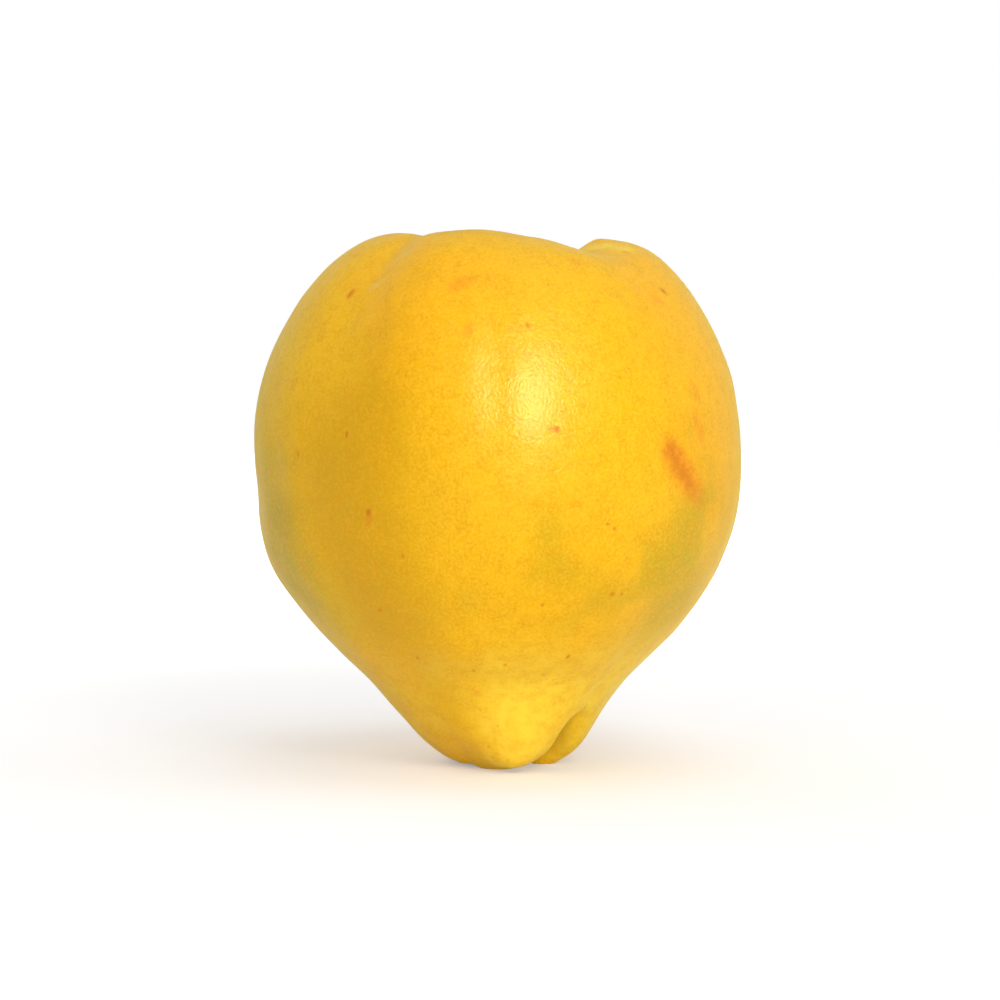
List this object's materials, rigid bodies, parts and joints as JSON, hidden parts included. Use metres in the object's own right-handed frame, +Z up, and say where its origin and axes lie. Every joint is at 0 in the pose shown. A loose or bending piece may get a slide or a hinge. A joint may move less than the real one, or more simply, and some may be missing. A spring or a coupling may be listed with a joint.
{
  "type": "quince",
  "caption": "Ripe golden quince standing on its narrow folded neck, with a lobed crown, a deep calyx basin holding dried sepals, and a short stem stub in its pit.",
  "frame": {"origin": "on the surface that the fruit stands on, under the middle of its box", "axes": "+Z up along the core, from the stem end to the calyx basin; -Y is the front, with the knob of the neck; +X is the side of the neck's sharp fold"},
  "size_m": [0.0826, 0.0834, 0.0907],
  "materials": {
    "skin": "waxy satin skin of a ripe quince, golden yellow, finely pored, with small brown marks and a trace of down",
    "dried_calyx": "dry, brown, leathery and faintly downy",
    "dried_stamens": "dry, brittle and dark brown",
    "stem_wood": "rough grey-brown bark with a pale broken end"
  },
  "bodies": {
    "root": {"fruit": "skin", "sepal_1": "dried_calyx", "sepal_2": "dried_calyx", "sepal_3": "dried_calyx", "sepal_4": "dried_calyx", "sepal_5": "dried_calyx", "stamen_tuft": "dried_stamens", "stem_stub": "stem_wood"}
  },
  "joints": []
}
